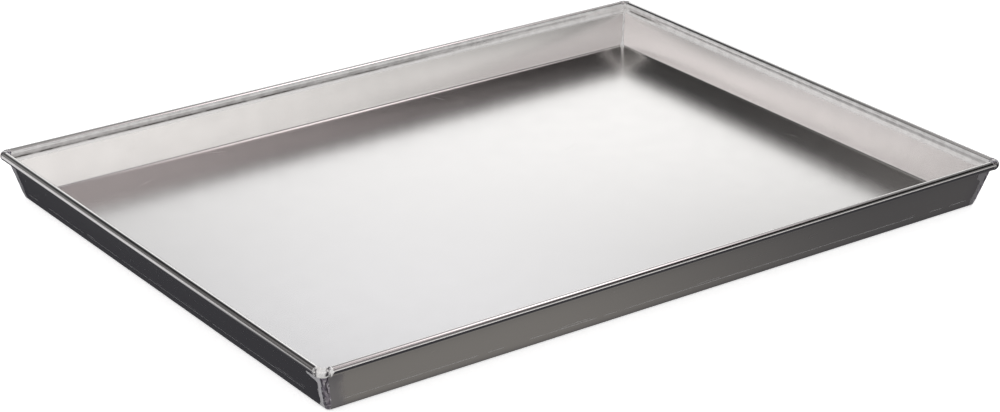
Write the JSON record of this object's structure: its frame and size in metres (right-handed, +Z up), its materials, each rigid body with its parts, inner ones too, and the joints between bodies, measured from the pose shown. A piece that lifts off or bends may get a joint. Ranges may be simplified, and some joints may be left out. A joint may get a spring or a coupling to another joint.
{
  "type": "baking tray",
  "caption": "Rectangular sheet-metal baking tray with low flared walls, welded corners and a rim rolled round wire.",
  "frame": {"origin": "on the resting surface, under the middle of the tray", "axes": "+Z up; X along the long sides; the front long side faces -Y"},
  "size_m": [0.4194, 0.3194, 0.026],
  "materials": {
    "sheet": "bare, satin, finely rolled",
    "wire": "drawn wire, dull",
    "weld": "weld metal, ground and brushed"
  },
  "bodies": {
    "root": {"pan_sheet": "sheet", "rim_wire_front": "wire", "rim_wire_right": "wire", "rim_wire_back": "wire", "rim_wire_left": "wire", "corner_weld_front_left": "weld", "corner_weld_front_right": "weld", "corner_weld_back_right": "weld", "corner_weld_back_left": "weld", "rim_weld_front_left": "weld", "rim_weld_front_right": "weld", "rim_weld_back_right": "weld", "rim_weld_back_left": "weld"}
  },
  "joints": []
}
